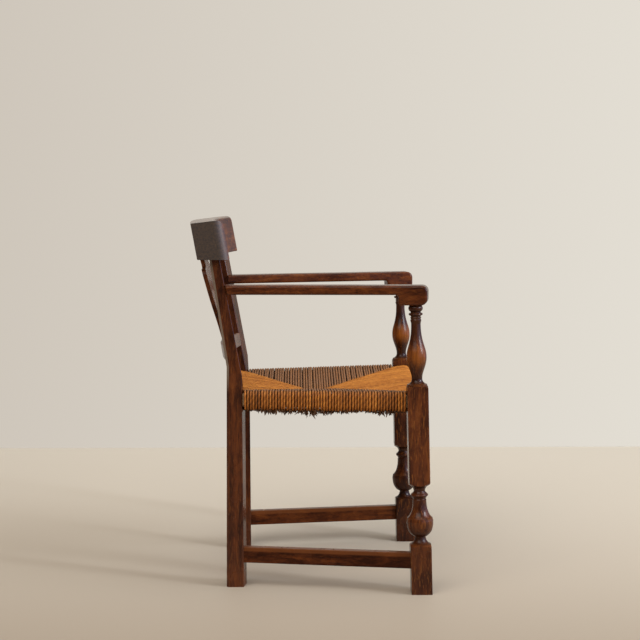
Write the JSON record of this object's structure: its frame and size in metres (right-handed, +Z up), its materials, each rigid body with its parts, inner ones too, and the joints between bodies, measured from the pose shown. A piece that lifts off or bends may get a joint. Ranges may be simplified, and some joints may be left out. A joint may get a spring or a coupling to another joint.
{
  "type": "rush seat armchair",
  "caption": "Armchair in dark stained oak: turned front posts carry level arms, raked back with a bowed crest rail and splat, woven rush seat, side stretchers.",
  "frame": {"origin": "on the floor, at the middle of the chair's box", "axes": "+Z up, -Y the way the sitter faces, +X to the sitter's left"},
  "size_m": [0.5576, 0.5303, 0.8044],
  "materials": {
    "dark_oak": "satin, waxed",
    "rail_wood": "raw",
    "dowel_wood": "raw",
    "rush": "dry twisted rush",
    "stuffing": "packed rush"
  },
  "bodies": {
    "root": {"front_post_left": "dark_oak", "front_post_right": "dark_oak", "rear_post_left": "dark_oak", "rear_post_right": "dark_oak", "crest_rail": "dark_oak", "lower_back_rail": "dark_oak", "back_splat": "dark_oak", "arm_left": "dark_oak", "arm_right": "dark_oak", "side_stretcher_left": "dark_oak", "side_stretcher_right": "dark_oak", "front_seat_rail": "rail_wood", "rear_seat_rail": "rail_wood", "side_seat_rail_left": "rail_wood", "side_seat_rail_right": "rail_wood", "seat_rail_dowels": "dowel_wood", "stretcher_dowels": "dowel_wood", "arm_dowels": "dowel_wood", "back_rail_dowels": "dowel_wood", "rush_seat": "rush", "seat_stuffing": "stuffing"}
  },
  "joints": []
}
